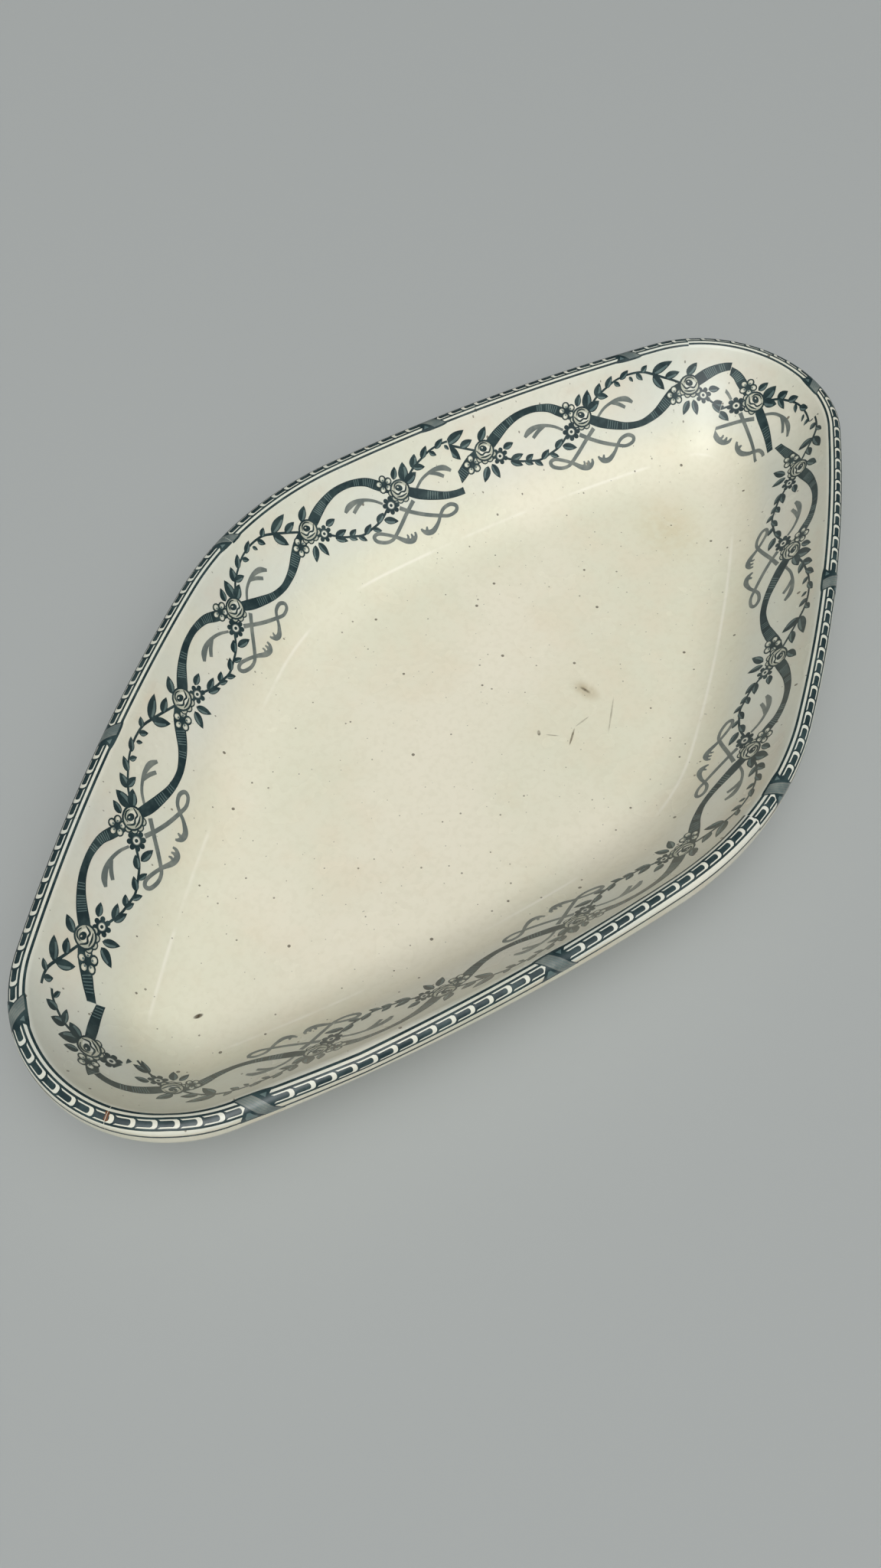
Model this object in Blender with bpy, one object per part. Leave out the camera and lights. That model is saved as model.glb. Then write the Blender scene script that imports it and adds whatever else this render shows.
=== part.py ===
"""A lozenge-shaped earthenware appetizer dish: body, foot ring and printed transfer strips.

Metres, +Z up. The origin is on the table under the middle of the dish, the long diagonal is along X.
"""
import math

import bmesh
import bpy
from mathutils import Vector

# Plan outline over the lip: two tips on X, two blunt corners on Y, bowed sides between them
LENGTH = 0.2725
WIDTH = 0.1485
TIP_RADIUS = 0.03355
CORNER_RADIUS = 0.08885
SIDE_RADIUS = 0.49025
LEAST_RADIUS = 0.002

# Rolled lip, measured from its crest: a round shoulder, an upright band and a rolled lower edge
HEIGHT = 0.034
LIP_REACH = 0.00235
LIP_DROP = 0.0018
LIP_BAND = 0.0024
LIP_INNER_RADIUS = 0.0024
LIP_ROLL_WIDTH = 0.0011
LIP_ROLL_DROP = 0.0022
LIP_FILLET = 0.002

# Wall and floor: the wall leaves the lip steeply, bows, and runs straight down to the cove
LIP_SLOPE = math.radians(57)
WALL_SLOPE = math.radians(45)
WALL_BOW_RADIUS = 0.060
WALL_THICKNESS = 0.0046
COVE_RADIUS = 0.006
FLOOR_SLOPE = math.radians(2)
FLOOR_HEIGHT = 0.0103
FLOOR_DISH = 0.0009
UNDERSIDE_HEIGHT = 0.0044
HEEL_RADIUS = 0.004

# Foot ring, luted under the heel
SEAT_GAP = 0.0003
FOOT_WIDTH = 0.004
FOOT_TAPER = 0.0004
FOOT_EDGE = 0.0006

# Printed strips, laid on the lip and on the wall
STRIP_THICKNESS = 0.00025
BORDER_INNER_ANGLE = math.radians(29)
BORDER_DROP = 0.0022
GARLAND_LEVEL = 0.0108
RIBBON_SWING = 0.006
RIBBON_WIDTH = 0.0027
RIBBON_WAIST = 0.0016
VINE_SWING = 0.0075
VINE_WIDTH = 0.0024
STEM_WIDTH = 0.001
CLUSTER_HALF_LENGTH = 0.0042
CLUSTER_HALF_WIDTH = 0.0046
CLUSTER_NOTCH = 0.0014
JOIN_GAP = 0.0006

# Where the strips are cut, as shares of the way round from the tip on -X, counter-clockwise
BORDER_CUT_SHARES = (0.015, 0.245, 0.538, 0.764)
GARLAND_CUT_SHARES = (0.0, 0.470, 0.5105, 0.6553, 0.969)
# Each garland strip has its first cluster this far past its cut, then the two spacings take turns
GARLAND_FIRST = (0.0148, 0.0163, 0.012, 0.0164, 0.0118)
GARLAND_STARTS_LONG = (True, False, True, False, False)
LONG_SPACING = 0.0335
SHORT_SPACING = 0.028

# Facets
TIP_STEPS = 5
SIDE_STEPS = 8
CORNER_STEPS = 5
ROUND_STEPS = 4
BOW_STEPS = 3
LIP_STEPS = 6
FLOOR_RINGS = (0.72, 0.4)
BORDER_STEP = 0.006
GARLAND_STEP = 0.003

CREAM = (0.72, 0.68, 0.52, 1.0)
BISCUIT = (0.66, 0.58, 0.44, 1.0)
TEAL = (0.05, 0.09, 0.10, 1.0)


def plan_arcs(inset):
    """The outline's arcs, counter-clockwise from the tip on -X: centre, radius, first angle, sweep."""
    tip = max(TIP_RADIUS - inset, LEAST_RADIUS)
    corner = max(CORNER_RADIUS - inset, LEAST_RADIUS)
    side = SIDE_RADIUS - inset
    tip_centre = Vector((LENGTH / 2 - inset - tip, 0))
    corner_centre = Vector((0, WIDTH / 2 - inset - corner))
    # The side arc's centre keeps the side tangent to both round corners
    along = corner_centre - tip_centre
    span = along.length
    to_tip, to_corner = side - tip, side - corner
    foot = (to_tip**2 - to_corner**2 + span**2) / (2 * span)
    rise = math.sqrt(to_tip**2 - foot**2)
    unit = along / span
    side_centre = tip_centre + unit * foot + Vector((-unit.y, unit.x)) * rise
    tip_ray = tip_centre - side_centre
    corner_ray = corner_centre - side_centre
    tip_turn = math.atan2(tip_ray.y, tip_ray.x)
    corner_turn = math.atan2(corner_ray.y, corner_ray.x)
    quarter = (
        (tip_centre, tip, 0.0, tip_turn),
        (side_centre, side, tip_turn, corner_turn),
        (corner_centre, corner, corner_turn, math.pi / 2),
    )
    arcs = []
    for flip_x, flip_y in ((-1, -1), (1, -1), (1, 1), (-1, 1)):
        same_way = flip_x * flip_y > 0
        for centre, radius, start, end in quarter if same_way else reversed(quarter):
            middle = Vector((centre.x * flip_x, centre.y * flip_y))
            first = start if same_way else end
            ray = math.atan2(math.sin(first) * flip_y, math.cos(first) * flip_x)
            arcs.append((middle, radius, ray, end - start))
    return arcs


def plan_point(inset, place):
    """Point on the outline moved in by inset, at place = (arc number, share of it)."""
    number, share = place
    centre, radius, start, sweep = plan_arcs(inset)[number]
    angle = start + sweep * share
    return centre + Vector((math.cos(angle), math.sin(angle))) * radius


def plan_length(inset):
    return sum(radius * sweep for _, radius, _, sweep in plan_arcs(inset))


def plan_place(inset, distance):
    """The place on the outline at this distance from the tip on -X."""
    rest = distance % plan_length(inset)
    for number, (_, radius, _, sweep) in enumerate(plan_arcs(inset)):
        if rest <= radius * sweep:
            return number, rest / (radius * sweep)
        rest -= radius * sweep
    return 0, 0.0


def ring_places():
    """The places that every ring of the body and the foot shares."""
    quarter = (TIP_STEPS, SIDE_STEPS, CORNER_STEPS)
    counts = (quarter + quarter[::-1]) * 2
    return [(number, step / count) for number, count in enumerate(counts) for step in range(count)]


def ring(inset, height):
    points = [plan_point(inset, place) for place in ring_places()]
    return [Vector((point.x, point.y, height)) for point in points]


def arc_profile(start, radius, first, last, steps=ROUND_STEPS):
    """(inset, height) points of a round stretch that starts at start; angles are down from level."""
    turn = 1 if last > first else -1
    points = []
    for step in range(steps + 1):
        angle = first + (last - first) * step / steps
        inset = start[0] + turn * radius * (math.sin(angle) - math.sin(first))
        height = start[1] + turn * radius * (math.cos(angle) - math.cos(first))
        points.append((inset, height))
    return points


def lip_inner(angle):
    """Point and normal of the lip inside its crest, as (inset, height) pairs."""
    sine, cosine = math.sin(angle), math.cos(angle)
    point = (LIP_REACH + LIP_INNER_RADIUS * sine, HEIGHT - LIP_INNER_RADIUS * (1 - cosine))
    return point, (sine, cosine)


def lip_outer(angle):
    """The same outside its crest, on an ellipse that is upright at a quarter turn."""
    sine, cosine = math.sin(angle), math.cos(angle)
    point = (LIP_REACH * (1 - sine), HEIGHT - LIP_DROP * (1 - cosine))
    normal = Vector((-sine / LIP_REACH, cosine / LIP_DROP)).normalized()
    return point, tuple(normal)


def bow_point(slope):
    """The wall's inner face where it has this slope, between the lip and the straight stretch."""
    inset, height = lip_inner(LIP_SLOPE)[0]
    inset += WALL_BOW_RADIUS * (math.sin(LIP_SLOPE) - math.sin(slope))
    height -= WALL_BOW_RADIUS * (math.cos(slope) - math.cos(LIP_SLOPE))
    return inset, height


def wall(level):
    """Point and normal of the wall's inner face, this far down the slope from the lip."""
    slope = max(LIP_SLOPE - level / WALL_BOW_RADIUS, WALL_SLOPE)
    inset, height = bow_point(slope)
    straight = level - WALL_BOW_RADIUS * (LIP_SLOPE - slope)
    point = (inset + straight * math.cos(slope), height - straight * math.sin(slope))
    return point, (math.sin(slope), math.cos(slope))


def outer_bow_point(slope):
    """The wall's outer face, one wall thickness behind the inner one."""
    inset, height = bow_point(slope)
    return inset - WALL_THICKNESS * math.sin(slope), height - WALL_THICKNESS * math.cos(slope)


def wall_inset(height):
    """Inset of the straight stretch of the wall's inner face at this height."""
    inset, top = bow_point(WALL_SLOPE)
    return inset + (top - height) / math.tan(WALL_SLOPE)


def outer_inset(height):
    return wall_inset(height) - WALL_THICKNESS / math.sin(WALL_SLOPE)


def floor_edge():
    """Inset where the cove under the wall runs out into the floor."""
    cove_top = FLOOR_HEIGHT + COVE_RADIUS * (math.cos(FLOOR_SLOPE) - math.cos(WALL_SLOPE))
    return wall_inset(cove_top) + COVE_RADIUS * (math.sin(WALL_SLOPE) - math.sin(FLOOR_SLOPE))


def heel():
    """Start and end of the round heel between the wall's outer face and the underside."""
    reach = HEEL_RADIUS * math.tan(WALL_SLOPE / 2)
    corner = outer_inset(UNDERSIDE_HEIGHT)
    start = (corner - reach * math.cos(WALL_SLOPE), UNDERSIDE_HEIGHT + reach * math.sin(WALL_SLOPE))
    return start, (corner + reach, UNDERSIDE_HEIGHT)


def lip_fillet(under):
    """The hollow from the lip's underside at height under to the wall's bowed outer face."""
    bow_centre = lip_inner(LIP_SLOPE)[0][1] + WALL_BOW_RADIUS * math.cos(LIP_SLOPE)
    slope = math.acos((bow_centre - under + LIP_FILLET) / (WALL_BOW_RADIUS + WALL_THICKNESS + LIP_FILLET))
    start = outer_bow_point(slope)[0] - LIP_FILLET * math.sin(slope)
    return slope, arc_profile((start, under), LIP_FILLET, 0.0, slope)


def body_profile():
    """From the floor's edge up the inside, over the lip and down the outside to the underside."""
    cove = arc_profile((floor_edge(), FLOOR_HEIGHT), COVE_RADIUS, FLOOR_SLOPE, WALL_SLOPE)
    cove = [(2 * floor_edge() - inset, 2 * FLOOR_HEIGHT - height) for inset, height in cove]
    bow = []
    for step in range(BOW_STEPS):
        bow.append(bow_point(WALL_SLOPE + (LIP_SLOPE - WALL_SLOPE) * step / BOW_STEPS))
    inner = [lip_inner(LIP_SLOPE * (1 - step / ROUND_STEPS))[0] for step in range(ROUND_STEPS)]
    outer = [lip_outer(math.pi / 2 * step / LIP_STEPS)[0] for step in range(LIP_STEPS + 1)]
    edge_height = HEIGHT - LIP_DROP - LIP_BAND
    roll = [(0.0, edge_height)]
    for step in range(1, ROUND_STEPS + 1):
        angle = math.pi / 2 * step / ROUND_STEPS
        roll.append((LIP_ROLL_WIDTH * (1 - math.cos(angle)), edge_height - LIP_ROLL_DROP * math.sin(angle)))
    slope, fillet = lip_fillet(edge_height - LIP_ROLL_DROP)
    outer_bow = []
    for step in range(1, BOW_STEPS + 1):
        outer_bow.append(outer_bow_point(slope + (WALL_SLOPE - slope) * step / BOW_STEPS))
    heel_round = arc_profile(heel()[0], HEEL_RADIUS, WALL_SLOPE, 0.0)
    return cove + bow + inner + outer + roll + fillet + outer_bow + heel_round


def loft(mesh, rings, closed):
    """Quads between neighbouring rings, and flat caps on the first and last unless the loft is closed."""
    loops = [[mesh.verts.new(point) for point in points] for points in rings]
    pairs = list(zip(loops, loops[1:] + loops[:1]))
    for lower, upper in pairs if closed else pairs[:-1]:
        for here in range(len(lower)):
            there = (here + 1) % len(lower)
            mesh.faces.new((lower[here], lower[there], upper[there], upper[here]))
    if not closed:
        mesh.faces.new(loops[0])
        mesh.faces.new(loops[-1])


def add_object(name, mesh, material):
    data = bpy.data.meshes.new(name)
    mesh.to_mesh(data)
    mesh.free()
    data.materials.append(material)
    data.shade_smooth()
    data.set_sharp_from_angle(angle=math.radians(40))
    piece = bpy.data.objects.new(name, data)
    bpy.context.scene.collection.objects.link(piece)
    return piece


def make_material(name, colour, roughness):
    material = bpy.data.materials.new(name)
    material.use_nodes = True
    shader = material.node_tree.nodes["Principled BSDF"]
    shader.inputs["Base Color"].default_value = colour
    shader.inputs["Roughness"].default_value = roughness
    shader.inputs["Metallic"].default_value = 0.0
    return material


def make_body(material):
    mesh = bmesh.new()
    edge = ring(floor_edge(), FLOOR_HEIGHT)
    rings = []
    for share in reversed(FLOOR_RINGS):
        height = FLOOR_HEIGHT - FLOOR_DISH * (1 - share**2)
        rings.append([Vector((point.x * share, point.y * share, height)) for point in edge])
    rings += [ring(inset, height) for inset, height in body_profile()]
    loft(mesh, rings, closed=False)
    bmesh.ops.recalc_face_normals(mesh, faces=mesh.faces)
    add_object("dish_body", mesh, material)


def make_foot(material):
    """A low ring with tapered sides and eased edges, seated under the heel."""
    top = UNDERSIDE_HEIGHT - SEAT_GAP
    outer = heel()[1][0]
    inner = outer + FOOT_WIDTH
    profile = (
        (outer, top),
        (outer + FOOT_TAPER, FOOT_EDGE),
        (outer + FOOT_TAPER + FOOT_EDGE, 0.0),
        (inner - FOOT_TAPER - FOOT_EDGE, 0.0),
        (inner - FOOT_TAPER, FOOT_EDGE),
        (inner, top),
    )
    mesh = bmesh.new()
    loft(mesh, [ring(inset, height) for inset, height in profile], closed=True)
    bmesh.ops.recalc_face_normals(mesh, faces=mesh.faces)
    add_object("foot_ring", mesh, material)


def raised(point, normal, place):
    """A profile point at a place on the plan, lifted off the body by the seat gap."""
    inset = point[0] + normal[0] * SEAT_GAP
    flat = plan_point(inset, place)
    return Vector((flat.x, flat.y, point[1] + normal[1] * SEAT_GAP))


def garland_line():
    """Inset of the line that the garland's clusters sit on."""
    return wall(GARLAND_LEVEL)[0][0]


def wall_point(distance, level):
    """A point just off the wall: distance along the garland's line, level down the slope."""
    return raised(*wall(level), plan_place(garland_line(), distance))


def add_strip(name, mesh, material):
    """A thin strip from an open sheet, thickened away from the body, whose surfaces here all look up."""
    bmesh.ops.recalc_face_normals(mesh, faces=mesh.faces)
    if sum(face.normal.z for face in mesh.faces) < 0:
        bmesh.ops.reverse_faces(mesh, faces=mesh.faces)
    skin = add_object(name, mesh, material).modifiers.new("thickness", "SOLIDIFY")
    skin.thickness = STRIP_THICKNESS
    skin.offset = 1.0


def cut_spans(cuts, inset):
    """(start, end) of each strip as distances along its line, a little apart where two strips meet."""
    total = plan_length(inset)
    ends = cuts[1:] + (cuts[0] + 1,)
    return [(start * total + JOIN_GAP / 2, end * total - JOIN_GAP / 2) for start, end in zip(cuts, ends)]


def border_section():
    """The lip's points and normals under the border, from its inner line down to its outer line."""
    inner = [lip_inner(BORDER_INNER_ANGLE * (1 - step / 2)) for step in range(2)]
    outer = [lip_outer(math.pi / 2 * step / 3) for step in range(4)]
    low_edge = ((0.0, HEIGHT - LIP_DROP - BORDER_DROP), (-1.0, 0.0))
    return inner + outer + [low_edge]


def make_borders(material):
    for number, (start, end) in enumerate(cut_spans(BORDER_CUT_SHARES, LIP_REACH), 1):
        count = math.ceil((end - start) / BORDER_STEP)
        mesh = bmesh.new()
        rows = []
        for step in range(count + 1):
            place = plan_place(LIP_REACH, start + (end - start) * step / count)
            rows.append([mesh.verts.new(raised(*section, place)) for section in border_section()])
        for row, following in zip(rows, rows[1:]):
            for here in range(len(row) - 1):
                mesh.faces.new((row[here], row[here + 1], following[here + 1], following[here]))
        add_strip(f"border_strip_{number}", mesh, material)


def ribbon_half_width(share):
    """Half the ribbon's width: narrow where it enters a cluster, full in the middle of its arc."""
    return (RIBBON_WAIST + (RIBBON_WIDTH - RIBBON_WAIST) * math.sin(math.pi * share)) / 2


def vine_half_width(step):
    """Half the vine's width: bare stem and leaf pair take turns."""
    return (VINE_WIDTH if step % 2 else STEM_WIDTH) / 2


def garland_arcs(spacing, ribbon_outside):
    """The two arcs that leave a cluster, rim side first: swing and half width by distance and step."""
    ribbon = (RIBBON_SWING, lambda share, step: ribbon_half_width(share))
    vine = (VINE_SWING, lambda share, step: vine_half_width(step))
    outside, inside = (ribbon, vine) if ribbon_outside else (vine, ribbon)
    arcs = []
    for side, (swing, half_width) in ((-1, outside), (1, inside)):
        arcs.append((lambda run, s=side, w=swing: s * w * math.sin(math.pi * run / spacing), half_width))
    return arcs


def arc_edge(mesh, cluster, arc, run, spacing, step):
    """The two vertices across an arc, at this run past the cluster it leaves."""
    swing, half_width = arc
    middle = GARLAND_LEVEL + swing(run)
    half = half_width(run / spacing, step)
    return [mesh.verts.new(wall_point(cluster + run, middle + side * half)) for side in (-1, 1)]


def lay_arc(mesh, cluster, arc, first, last, spacing):
    """Quads of one arc from run first to run last; returns its end edges."""
    count = 2 * math.ceil((last - first) / GARLAND_STEP / 2)
    edges = []
    for step in range(count + 1):
        run = first + (last - first) * step / count
        edges.append(arc_edge(mesh, cluster, arc, run, spacing, step))
    for (upper, lower), (next_upper, next_lower) in zip(edges, edges[1:]):
        mesh.faces.new((upper, lower, next_lower, next_upper))
    return edges[0], edges[-1]


def garland_clusters(start, end, first, starts_long):
    """Cluster distances in one strip, and the spacing from each to the next."""
    at, is_long = start + first, starts_long
    clusters = []
    while at < end - CLUSTER_HALF_LENGTH:
        spacing = LONG_SPACING if is_long else SHORT_SPACING
        clusters.append((at, spacing, not is_long))
        at += spacing
        is_long = not is_long
    return clusters


def make_cluster(mesh, at, left, right):
    """The flat rosette where ribbon and vine cross, joined to the arcs' end edges on both sides."""
    outline = []
    for sign, edges in ((1, right), (-1, left)):
        (upper_a, upper_b), (lower_a, lower_b) = edges
        crown = CLUSTER_HALF_LENGTH / 2 * sign
        notch = at + sign * (CLUSTER_HALF_LENGTH - CLUSTER_NOTCH)
        top = mesh.verts.new(wall_point(at + crown, GARLAND_LEVEL - CLUSTER_HALF_WIDTH))
        waist = mesh.verts.new(wall_point(notch, GARLAND_LEVEL))
        bottom = mesh.verts.new(wall_point(at + crown, GARLAND_LEVEL + CLUSTER_HALF_WIDTH))
        run = [top, upper_a, upper_b, waist, lower_a, lower_b, bottom]
        outline += run if sign > 0 else run[::-1]
    centre = mesh.verts.new(wall_point(at, GARLAND_LEVEL))
    for here, there in zip(outline, outline[1:] + outline[:1]):
        mesh.faces.new((centre, here, there))


def make_garlands(material):
    for number, (start, end) in enumerate(cut_spans(GARLAND_CUT_SHARES, garland_line())):
        clusters = garland_clusters(start, end, GARLAND_FIRST[number], GARLAND_STARTS_LONG[number])
        mesh = bmesh.new()
        # The arcs before the first cluster belong to a cluster of the strip that the cut took away
        first_at, first_spacing, first_outside = clusters[0]
        before = LONG_SPACING + SHORT_SPACING - first_spacing
        cut_off = first_at - before
        lead = [
            lay_arc(mesh, cut_off, arc, start - cut_off, before - CLUSTER_HALF_LENGTH, before)
            for arc in garland_arcs(before, not first_outside)
        ]
        left = [ends[1] for ends in lead]
        for place, (at, spacing, ribbon_outside) in enumerate(clusters):
            is_last = place == len(clusters) - 1
            stop = end - at if is_last else spacing - CLUSTER_HALF_LENGTH
            laid = [
                lay_arc(mesh, at, arc, CLUSTER_HALF_LENGTH, stop, spacing)
                for arc in garland_arcs(spacing, ribbon_outside)
            ]
            make_cluster(mesh, at, left, [ends[0] for ends in laid])
            left = [ends[1] for ends in laid]
        add_strip(f"garland_strip_{number + 1}", mesh, material)


def main():
    for piece in list(bpy.data.objects):
        bpy.data.objects.remove(piece, do_unlink=True)
    glaze = make_material("cream glaze", CREAM, 0.15)
    biscuit = make_material("biscuit", BISCUIT, 0.6)
    print_ink = make_material("teal print", TEAL, 0.15)
    make_body(glaze)
    make_foot(biscuit)
    make_borders(print_ink)
    make_garlands(print_ink)


main()
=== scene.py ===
"""Looks of the lozenge appetizer dish: glazed body, bare foot, printed border and garland, light and camera.

Metres, +Z up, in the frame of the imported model. The ornament is drawn flat, in millimetres along and across
its strip, and then laid on the lip and the wall.
"""

import bisect
import math
from functools import partial
from itertools import accumulate

import bmesh
import bpy
from mathutils import Matrix, Vector
from mathutils.geometry import delaunay_2d_cdt


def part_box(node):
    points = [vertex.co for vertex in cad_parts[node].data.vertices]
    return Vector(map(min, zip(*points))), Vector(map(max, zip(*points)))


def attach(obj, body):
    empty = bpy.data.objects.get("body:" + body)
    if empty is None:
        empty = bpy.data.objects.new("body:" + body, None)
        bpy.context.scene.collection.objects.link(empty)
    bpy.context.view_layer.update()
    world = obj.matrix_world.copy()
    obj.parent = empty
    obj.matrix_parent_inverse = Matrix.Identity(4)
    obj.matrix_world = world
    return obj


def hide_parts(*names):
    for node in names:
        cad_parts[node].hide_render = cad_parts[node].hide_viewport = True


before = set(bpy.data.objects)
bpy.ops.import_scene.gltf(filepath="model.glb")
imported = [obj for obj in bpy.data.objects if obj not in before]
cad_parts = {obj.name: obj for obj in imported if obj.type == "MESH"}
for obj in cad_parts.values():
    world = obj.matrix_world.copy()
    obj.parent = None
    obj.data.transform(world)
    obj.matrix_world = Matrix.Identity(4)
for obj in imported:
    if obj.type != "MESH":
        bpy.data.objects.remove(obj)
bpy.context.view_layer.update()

MM = 0.001

# Plan outline over the lip, as in the model: its overall sizes come from the frame
BODY_LOW, BODY_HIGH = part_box("dish_body")
LENGTH = BODY_HIGH[0] - BODY_LOW[0]
WIDTH = BODY_HIGH[1] - BODY_LOW[1]
HEIGHT = BODY_HIGH[2]
TIP_RADIUS = 0.03355
CORNER_RADIUS = 0.08885
SIDE_RADIUS = 0.49025
LEAST_RADIUS = 0.002

# Section through the lip, wall and floor, as in the model but for a broader cove
LIP_REACH = 0.00235
LIP_DROP = 0.0018
LIP_BAND = 0.0024
LIP_INNER_RADIUS = 0.0024
LIP_ROLL_WIDTH = 0.0011
LIP_ROLL_DROP = 0.0022
LIP_FILLET = 0.002
LIP_SLOPE = math.radians(57)
WALL_SLOPE = math.radians(45)
WALL_BOW_RADIUS = 0.060
WALL_THICKNESS = 0.0046
COVE_RADIUS = 0.020
FLOOR_SLOPE = math.radians(2)
FLOOR_HEIGHT = 0.0103
FLOOR_DISH = 0.0009
UNDERSIDE_HEIGHT = 0.0044
HEEL_RADIUS = 0.004
SEAT_GAP = 0.0003
FOOT_WIDTH = 0.004
FOOT_TAPER = 0.0004
FOOT_EDGE = 0.0006

# Fineness of the modelled surfaces
TIP_STEPS = 18
SIDE_STEPS = 22
CORNER_STEPS = 18
ROUND_STEPS = 10
LONGEST_STEP = 0.0016
FLOOR_RINGS = 22
UNDER_RINGS = 8
EDGE_STEPS = 4

# The print is a film in the glaze: how far it stands off and reaches in, and how finely it is cut, in mm
PRINT_LIFT = 0.04
PRINT_DEPTH = 0.02
FLAT_ERROR = 1e-3
FLAT_ANGLE = 0.01
LEAST_AREA = 1e-5

# Tones of the print, as slots of each printed piece
INK, TINT, SCROLL, BARE, RUST, WASH = range(6)

# Where each tone lies across a printed piece's texture map, so that no tone runs into another
MAP_NAME = "OFBake"
MAP_BANDS = {
    INK: (0.02, 0.40),
    TINT: (0.44, 0.56),
    SCROLL: (0.60, 0.76),
    WASH: (0.80, 0.90),
    RUST: (0.94, 0.98),
}
MAP_EDGE = 0.01
MAP_RIM = 0.002


def plan_arcs(inset=0.0):
    """The outline's arcs, counter-clockwise from the tip on -X: centre, radius, first angle, sweep."""
    tip = max(TIP_RADIUS - inset, LEAST_RADIUS)
    corner = max(CORNER_RADIUS - inset, LEAST_RADIUS)
    side = SIDE_RADIUS - inset
    tip_centre = Vector((LENGTH / 2 - inset - tip, 0))
    corner_centre = Vector((0, WIDTH / 2 - inset - corner))
    along = corner_centre - tip_centre
    span = along.length
    to_tip, to_corner = side - tip, side - corner
    foot = (to_tip**2 - to_corner**2 + span**2) / (2 * span)
    rise = math.sqrt(to_tip**2 - foot**2)
    unit = along / span
    side_centre = tip_centre + unit * foot + Vector((-unit.y, unit.x)) * rise
    tip_ray = tip_centre - side_centre
    corner_ray = corner_centre - side_centre
    tip_turn = math.atan2(tip_ray.y, tip_ray.x)
    corner_turn = math.atan2(corner_ray.y, corner_ray.x)
    quarter = (
        (tip_centre, tip, 0.0, tip_turn),
        (side_centre, side, tip_turn, corner_turn),
        (corner_centre, corner, corner_turn, math.pi / 2),
    )
    arcs = []
    for flip_x, flip_y in ((-1, -1), (1, -1), (1, 1), (-1, 1)):
        same_way = flip_x * flip_y > 0
        for centre, radius, start, end in quarter if same_way else reversed(quarter):
            middle = Vector((centre.x * flip_x, centre.y * flip_y))
            first = start if same_way else end
            ray = math.atan2(math.sin(first) * flip_y, math.cos(first) * flip_x)
            arcs.append((middle, radius, ray, end - start))
    return arcs


ARCS = plan_arcs()


def ring(inset, height):
    """One ring of the body at this inset and height, with the same count of points at every inset."""
    quarter = (TIP_STEPS, SIDE_STEPS, CORNER_STEPS)
    counts = (quarter + quarter[::-1]) * 2
    points = []
    for (centre, radius, start, sweep), count in zip(plan_arcs(inset), counts):
        for step in range(count):
            angle = start + sweep * step / count
            x = centre.x + radius * math.cos(angle)
            y = centre.y + radius * math.sin(angle)
            points.append(Vector((x, y, height)))
    return points


def arc_profile(start, radius, first, last, steps=ROUND_STEPS):
    """(inset, height) points of a round stretch that starts at start; angles are down from level."""
    turn = 1 if last > first else -1
    points = []
    for step in range(steps + 1):
        angle = first + (last - first) * step / steps
        inset = start[0] + turn * radius * (math.sin(angle) - math.sin(first))
        height = start[1] + turn * radius * (math.cos(angle) - math.cos(first))
        points.append((inset, height))
    return points


def bow_point(slope):
    """The wall's inner face where it has this slope, between the lip and the straight stretch."""
    inset = LIP_REACH + LIP_INNER_RADIUS * math.sin(LIP_SLOPE)
    height = HEIGHT - LIP_INNER_RADIUS * (1 - math.cos(LIP_SLOPE))
    inset += WALL_BOW_RADIUS * (math.sin(LIP_SLOPE) - math.sin(slope))
    height -= WALL_BOW_RADIUS * (math.cos(slope) - math.cos(LIP_SLOPE))
    return inset, height


def outer_bow_point(slope):
    inset, height = bow_point(slope)
    return inset - WALL_THICKNESS * math.sin(slope), height - WALL_THICKNESS * math.cos(slope)


def wall_inset(height):
    inset, top = bow_point(WALL_SLOPE)
    return inset + (top - height) / math.tan(WALL_SLOPE)


def outer_inset(height):
    return wall_inset(height) - WALL_THICKNESS / math.sin(WALL_SLOPE)


def floor_edge():
    cove_top = FLOOR_HEIGHT + COVE_RADIUS * (math.cos(FLOOR_SLOPE) - math.cos(WALL_SLOPE))
    return wall_inset(cove_top) + COVE_RADIUS * (math.sin(WALL_SLOPE) - math.sin(FLOOR_SLOPE))


def heel():
    reach = HEEL_RADIUS * math.tan(WALL_SLOPE / 2)
    corner = outer_inset(UNDERSIDE_HEIGHT)
    start = (corner - reach * math.cos(WALL_SLOPE), UNDERSIDE_HEIGHT + reach * math.sin(WALL_SLOPE))
    return start, (corner + reach, UNDERSIDE_HEIGHT)


def inside_profile():
    """(inset, height) from the floor's edge up the cove and wall to the lip's crest."""
    cove = arc_profile((floor_edge(), FLOOR_HEIGHT), COVE_RADIUS, FLOOR_SLOPE, WALL_SLOPE)
    points = [(2 * floor_edge() - inset, 2 * FLOOR_HEIGHT - height) for inset, height in cove]
    for step in range(ROUND_STEPS):
        points.append(bow_point(WALL_SLOPE + (LIP_SLOPE - WALL_SLOPE) * step / ROUND_STEPS))
    for step in range(ROUND_STEPS + 1):
        angle = LIP_SLOPE * (1 - step / ROUND_STEPS)
        inset = LIP_REACH + LIP_INNER_RADIUS * math.sin(angle)
        points.append((inset, HEIGHT - LIP_INNER_RADIUS * (1 - math.cos(angle))))
    return points


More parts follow.
